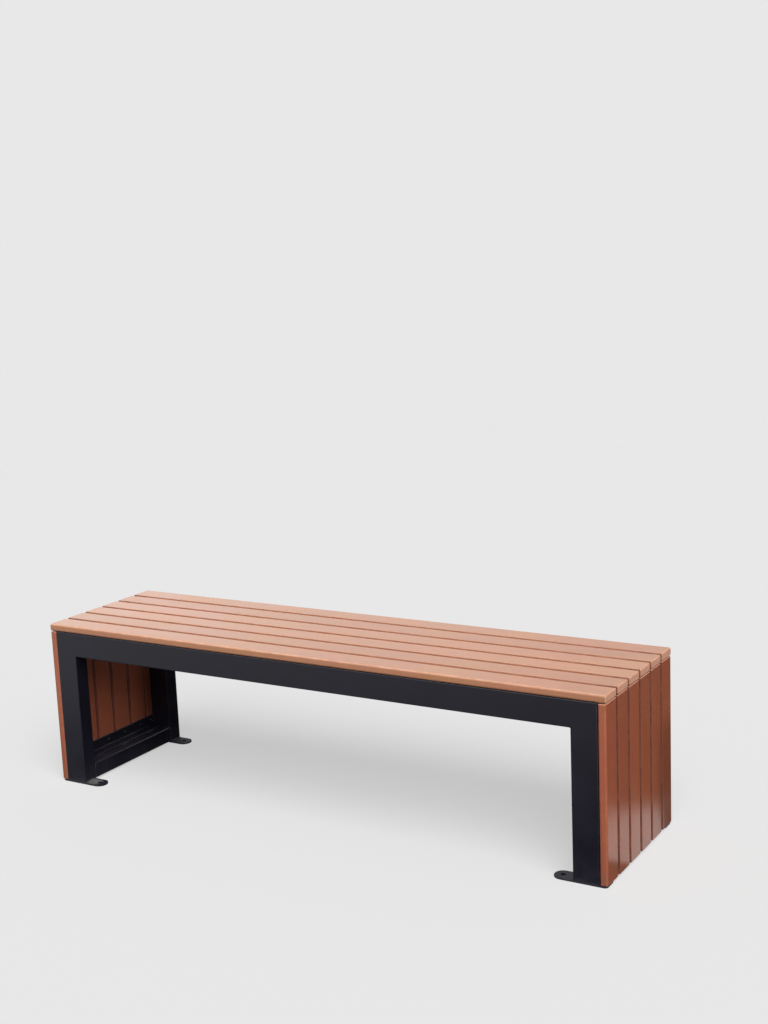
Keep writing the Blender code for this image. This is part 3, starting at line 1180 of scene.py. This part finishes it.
def screw_shape(settings):
    """A pan head screw with a cross recess, its head's seat at the origin and its tip up."""
    radius, height, shank = settings.head_radius, settings.head_height, settings.shank_radius
    profile = [(across * radius, -level * height) for across, level in PAN_HEAD]
    profile += [(shank, 0), (shank, settings.length - shank), (0, settings.length)]
    shape = bmesh.new()
    points = [shape.verts.new((across, 0, level)) for across, level in profile]
    lines = [shape.edges.new(pair) for pair in zip(points, points[1:])]
    bmesh.ops.spin(
        shape,
        geom=points + lines,
        cent=(0, 0, 0),
        axis=(0, 0, 1),
        angle=math.tau,
        steps=SCREW_STEPS,
        use_merge=True,
    )
    bmesh.ops.remove_doubles(shape, verts=shape.verts, dist=MERGE_DISTANCE)
    width, wing, depth = settings.recess_width, settings.recess_wing, settings.recess_depth * 2
    for size in ((width, wing, depth), (wing, width, depth * SECOND_WING_DEPTH)):
        cutter = bmesh.new()
        made = bmesh.ops.create_cube(cutter, size=1)
        bmesh.ops.scale(cutter, verts=made["verts"], vec=size)
        bmesh.ops.translate(cutter, verts=made["verts"], vec=(0, 0, -height))
        shape = applied(shape, "screw_blank", cutter)
    return shape


def drive_screws(name, screw, places, finish, slot, *nodes):
    """A piece of like screws, one at each place, its tip along the direction given with it."""
    mesh = bpy.data.meshes.new("screw_copy")
    screw.to_mesh(mesh)
    shape = bmesh.new()
    for number, (place, direction) in enumerate(places):
        before = set(shape.verts)
        shape.from_mesh(mesh)
        added = [vertex for vertex in shape.verts if vertex not in before]
        twist = Matrix.Rotation(math.radians(SCREW_TURN_DEGREES * number), 4, "Z")
        turn = UP.rotation_difference(Vector(direction)).to_matrix().to_4x4()
        bmesh.ops.transform(shape, verts=added, matrix=Matrix.Translation(place) @ turn @ twist)
    bpy.data.meshes.remove(mesh)
    piece_from(name, shape, (finish,), slot, *nodes)


def screw_rows():
    """The places of the six screws from front to rear, over each board's share of the bearers."""
    bearer_low, bearer_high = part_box("seat_bearer_1")
    rows = []
    for number in range(1, BOARD_COUNT + 1):
        low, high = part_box(f"seat_slat_{number}")
        rows.append((max(low.y, bearer_low.y) + min(high.y, bearer_high.y)) / 2)
    return rows


def angle_screws(node, side, thickness, rows, under_seat):
    """The places of one angle's screws, sideways first, then upward where it is under the seat."""
    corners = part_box(node)
    low, high = corners
    heel_x = outer_x(corners, side)
    middle = (thickness + high.z - low.z) / 2
    level = high.z - middle if under_seat else low.z + middle
    places = [((heel_x - side * thickness, y, level), (side, 0, 0)) for y in rows]
    if under_seat:
        places += [((heel_x - side * middle, y, high.z - thickness), UP) for y in rows]
    return places


class BENCH_OT_screws(bpy.types.Operator):
    """Drives the pan head screws: zinc ones under the seat, painted ones at the floor angles"""

    bl_idname = "bench.screws"
    bl_label = "Screws"
    bl_options = {"REGISTER", "UNDO"}

    def execute(self, context):
        settings = context.scene.bench_screws
        zinc = zinc_finish(settings)
        coat = coating_finish(context.scene.bench_steel)
        screw = screw_shape(settings)
        rows = screw_rows()
        for number in range(1, BEARER_COUNT + 1):
            nodes = [f"seat_screw_{number}_{row}" for row in range(1, BOARD_COUNT + 1)]
            low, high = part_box(nodes[0])
            x, z = (low.x + high.x) / 2, low.z + settings.head_height
            places = [((x, y, z), UP) for y in rows]
            drive_screws(f"bearer_screws_{number}", screw, places, zinc, SCREW_SLOT, *nodes)
        for side_name, side in SIDES:
            node = f"{side_name}_corner_angle"
            places = angle_screws(node, side, BEARER_THICKNESS, rows, under_seat=True)
            drive_screws(f"{side_name}_corner_screws", screw, places, zinc, SCREW_SLOT)
            node = f"{side_name}_floor_angle"
            places = angle_screws(node, side, FLOOR_ANGLE_THICKNESS, rows, under_seat=False)
            drive_screws(f"{side_name}_floor_screws", screw, places, coat, FRAME_SLOT)
        screw.free()
        return {"FINISHED"}


# Stage

def stage_finish(name):
    """A dull material without sheen."""
    material, tree, shader = new_finish(name)
    shader.inputs["Roughness"].default_value = 1.0
    shader.inputs["Specular IOR Level"].default_value = 0.0
    return material, tree, shader


def faded(tree, shader, share):
    """Lets a shader fade to nothing where its share falls to 0."""
    clear = tree.nodes.new("ShaderNodeBsdfTransparent").outputs[0]
    mixed = mix_shaders(tree, share, clear, shader)
    link(tree, mixed, tree.nodes["Material Output"].inputs["Surface"])


def stage_sheet(name, low, high, level, material, upright_at=None):
    """A flat sheet of the stage, lying at a level or standing at a depth."""
    shape = bmesh.new()
    bmesh.ops.create_grid(shape, x_segments=1, y_segments=1, size=0.5)
    bmesh.ops.scale(shape, verts=shape.verts, vec=(high[0] - low[0], high[1] - low[1], 1))
    middle = ((low[0] + high[0]) / 2, (low[1] + high[1]) / 2, level)
    if upright_at is not None:
        stand = Matrix.Rotation(math.pi / 2, 3, "X")
        bmesh.ops.rotate(shape, verts=shape.verts, cent=(0, 0, 0), matrix=stand)
        middle = (middle[0], upright_at, middle[1])
    bmesh.ops.translate(shape, verts=shape.verts, vec=middle)
    mesh = bpy.data.meshes.new(name)
    shape.to_mesh(mesh)
    shape.free()
    mesh.materials.append(material)
    sheet = bpy.data.objects.new(name, mesh)
    bpy.context.scene.collection.objects.link(sheet)
    return sheet


# How black each flag is at a place on it

def right_flag_share(tree, x, y, edge):
    """Black past a slanted edge, along a strip at the front and close beside the rearmost board."""
    slant = calculate(tree, "ADD", y, multiply(tree, x, 1.3))
    back = spread(tree, slant, edge + 0.34, edge + 0.54)
    front = spread(tree, y, -0.078, -0.042, 1.0, 0.0)
    rearmost = calculate(tree, "SUBTRACT", y, multiply(tree, x, 2.2))
    corner = spread(tree, rearmost, -1.530, -1.490, 0.0, 0.92)
    return calculate(tree, "MAXIMUM", corner, calculate(tree, "MAXIMUM", front, back))


def front_flag_share(tree, x, y):
    """Blacker towards the right and the bench, and once more before the left leg's foot."""
    slope = calculate(tree, "ADD", multiply(tree, x, 0.38), 0.78, multiply(tree, y, 0.36))
    left_foot = multiply(tree, spread(tree, x, 0.4, -0.6, 0.0, 0.4), spread(tree, y, -1.1, -0.3))
    return spread(tree, calculate(tree, "ADD", slope, left_foot), 0.0, 1.0)


def under_flag_share(tree, x, y):
    """Nearly black between the legs, fading at both sides and far behind the bench."""
    between = spread(tree, calculate(tree, "ABSOLUTE", x), 0.60, 0.85, 0.97, 0.0)
    return multiply(tree, between, spread(tree, y, 1.1, 1.7, 1.0, 0.0))


def behind_flag_share(tree, x, z):
    """Nearly black behind the bench, fading at both sides and just under the seat's height."""
    behind = spread(tree, calculate(tree, "ABSOLUTE", x), 0.95, 1.15, 0.95, 0.0)
    return multiply(tree, behind, spread(tree, z, 0.37, 0.41, 1.0, 0.0))


def add_flag(name, low, high, share_of, *values, upright_at=None):
    """A black flag that only reflections see, on the floor or upright behind the bench."""
    material, tree, shader = stage_finish(name)
    link(tree, FLAG_BLACK, shader.inputs["Base Color"])
    x, y, z = parts_of(tree, coordinates(tree))
    up_flag = y if upright_at is None else z
    faded(tree, shader.outputs[0], share_of(tree, x, up_flag, *values))
    flag = stage_sheet(name, low, high, FLAG_LEVEL, material, upright_at)
    for rays in ("camera", "diffuse", "shadow", "transmission", "volume_scatter"):
        setattr(flag, f"visible_{rays}", False)


class BENCH_OT_stage(bpy.types.Operator):
    """Sets the floor, the soft light and the camera"""

    bl_idname = "bench.stage"
    bl_label = "Stage"
    bl_options = {"REGISTER", "UNDO"}

    def execute(self, context):
        scene = context.scene
        settings = scene.bench_stage
        self.add_floor(settings, scene.bench_steel)
        edge = settings.flag_edge
        add_flag("right_flag", (0.752, -0.6), (edge + 1.6, 3.2), right_flag_share, edge)
        add_flag("front_flag", (-2.2, -2.2), (1.4, -0.20), front_flag_share)
        add_flag("under_flag", (-0.85, -0.19), (0.75, 1.7), under_flag_share)
        add_flag("behind_flag", (-1.15, 0.004), (1.15, 0.41), behind_flag_share, upright_at=0.50)
        self.add_sky(scene, settings)
        self.add_key(scene, settings)
        self.add_camera(scene, settings)
        scene.view_settings.view_transform = "Standard"
        return {"FINISHED"}

    def add_floor(self, settings, steel):
        """A pale floor that keeps the bench's shadow, has painted shade below the anchor holes and fades
        away.
        """
        material, tree, shader = stage_finish("pale_floor")
        place = coordinates(tree)
        path = tree.nodes.new("ShaderNodeLightPath").outputs
        # Painted shade below the anchor holes, where the shadow lift is also left out
        from_hole = from_tab_point(tree, place, steel.hole_from_tip, 0)
        rim = steel.hole_radius
        holes = spread(tree, from_hole, rim + 0.0005, rim + 0.0015, 1.0, 0.0)
        seen = blend_colours(tree, holes, settings.floor_colour, settings.hole_shade)
        colour = blend_colours(tree, path["Is Diffuse Ray"], seen, settings.floor_bounce)
        link(tree, colour, shader.inputs["Base Color"])
        glow = tree.nodes.new("ShaderNodeEmission")
        link(tree, settings.backdrop, glow.inputs["Color"])
        no_hole = calculate(tree, "SUBTRACT", 1.0, holes)
        lift = multiply(tree, path["Is Camera Ray"], settings.shadow_lift, no_hole)
        lifted = mix_shaders(tree, lift, shader.outputs[0], glow.outputs[0])
        away = measure(tree, "DISTANCE", place, (0, 0, 0))
        radius = settings.floor_radius
        faded(tree, lifted, spread(tree, away, 0.45 * radius, 0.95 * radius, 1.0, 0.0))
        stage_sheet("floor", (-radius, -radius), (radius, radius), 0.0, material)

    def add_sky(self, scene, settings):
        """A soft sky, stronger overhead, behind which the backdrop is seen and mirrored."""
        sky = bpy.data.worlds.new("soft_sky")
        sky.use_nodes = True
        scene.world = sky
        tree = sky.node_tree
        towards = coordinates(tree, "Generated")
        upward = parts_of(tree, towards)[Z_AXIS]
        light = tree.nodes["Background"]
        link(tree, (1, 1, 1), light.inputs["Color"])
        gain = multiply(tree, calculate(tree, "MAXIMUM", upward, 0.0), settings.sky_high - settings.sky_low)
        link(tree, calculate(tree, "ADD", gain, settings.sky_low), light.inputs["Strength"])

        path = tree.nodes.new("ShaderNodeLightPath").outputs
        aim = measure(tree, "DOT_PRODUCT", towards, Vector(settings.bright_side).normalized())
        wide = spread(tree, aim, 0.90, 0.955, 0.0, 0.25)
        narrow = spread(tree, aim, 0.965, 1.0, 0.0, settings.bright_level)
        overhead = spread(tree, upward, 0.38, 0.75, 0.0, settings.overhead_level)
        glare = multiply(tree, calculate(tree, "ADD", wide, narrow, overhead), path["Is Glossy Ray"])
        seen = tree.nodes.new("ShaderNodeBackground")
        link(tree, settings.backdrop, seen.inputs["Color"])
        link(tree, calculate(tree, "ADD", glare, 1.0), seen.inputs["Strength"])
        rays = [path[f"Is {kind} Ray"] for kind in ("Camera", "Glossy", "Transmission")]
        direct = calculate(tree, "MAXIMUM", *rays)
        mixed = mix_shaders(tree, direct, light.outputs[0], seen.outputs[0])
        link(tree, mixed, tree.nodes["World Output"].inputs["Surface"])

    def add_key(self, scene, settings):
        """One broad, soft light from above, a little to the front and the right."""
        lamp = bpy.data.lights.new("key", "SUN")
        lamp.energy = settings.key_level
        lamp.angle = settings.key_softness
        key = bpy.data.objects.new("key", lamp)
        key.rotation_euler = Vector(settings.key_direction).to_track_quat("Z", "Y").to_euler()
        key.location = Vector(settings.key_direction) * KEY_DISTANCE
        scene.collection.objects.link(key)

    def add_camera(self, scene, settings):
        """The camera at the photograph's viewing angle."""
        lens = bpy.data.cameras.new("camera")
        lens.lens = settings.lens
        lens.sensor_width = SENSOR_WIDTH
        lens.sensor_fit = "AUTO"
        lens.clip_end = VIEW_REACH
        camera = bpy.data.objects.new("camera", lens)
        scene.collection.objects.link(camera)
        turn = Matrix.Rotation(-settings.camera_yaw, 4, "Z")
        turn = turn @ Matrix.Rotation(math.pi / 2 + settings.camera_pitch, 4, "X")
        turn = turn @ Matrix.Rotation(settings.camera_roll, 4, "Z")
        camera.matrix_world = Matrix.Translation(settings.camera_place) @ turn
        scene.camera = camera


# Panel and registration

class BENCH_PT_panel(bpy.types.Panel):
    """Shows the bench's settings and the buttons of its operators"""

    bl_idname = "BENCH_PT_panel"
    bl_label = "Street bench"
    bl_space_type = "VIEW_3D"
    bl_region_type = "UI"
    bl_category = "Bench"

    def draw(self, context):
        column = self.layout.column()
        for name in SETTINGS:
            group = getattr(context.scene, name)
            for key in group.__annotations__:
                column.prop(group, key)
        for operator in OPERATORS:
            column.operator(operator.bl_idname)


SETTINGS = {
    "bench_boards": BenchBoards,
    "bench_steel": BenchSteel,
    "bench_screws": BenchScrews,
    "bench_stage": BenchStage,
}

OPERATORS = (
    BENCH_OT_seat_boards,
    BENCH_OT_end_boards,
    BENCH_OT_portal_frames,
    BENCH_OT_floor_tubes,
    BENCH_OT_steel_angles,
    BENCH_OT_foot_plates,
    BENCH_OT_welds,
    BENCH_OT_screws,
    BENCH_OT_stage,
)


def register():
    for name, group in SETTINGS.items():
        bpy.utils.register_class(group)
        setattr(bpy.types.Scene, name, PointerProperty(type=group))
    for operator in OPERATORS:
        bpy.utils.register_class(operator)
    bpy.utils.register_class(BENCH_PT_panel)


def unregister():
    bpy.utils.unregister_class(BENCH_PT_panel)
    for operator in reversed(OPERATORS):
        bpy.utils.unregister_class(operator)
    for name, group in SETTINGS.items():
        delattr(bpy.types.Scene, name)
        bpy.utils.unregister_class(group)


def main():
    register()
    bpy.ops.bench.seat_boards()
    bpy.ops.bench.end_boards()
    bpy.ops.bench.portal_frames()
    bpy.ops.bench.floor_tubes()
    bpy.ops.bench.steel_angles()
    bpy.ops.bench.foot_plates()
    bpy.ops.bench.welds()
    bpy.ops.bench.screws()
    bpy.ops.bench.stage()


if __name__ == "__main__":
    main()
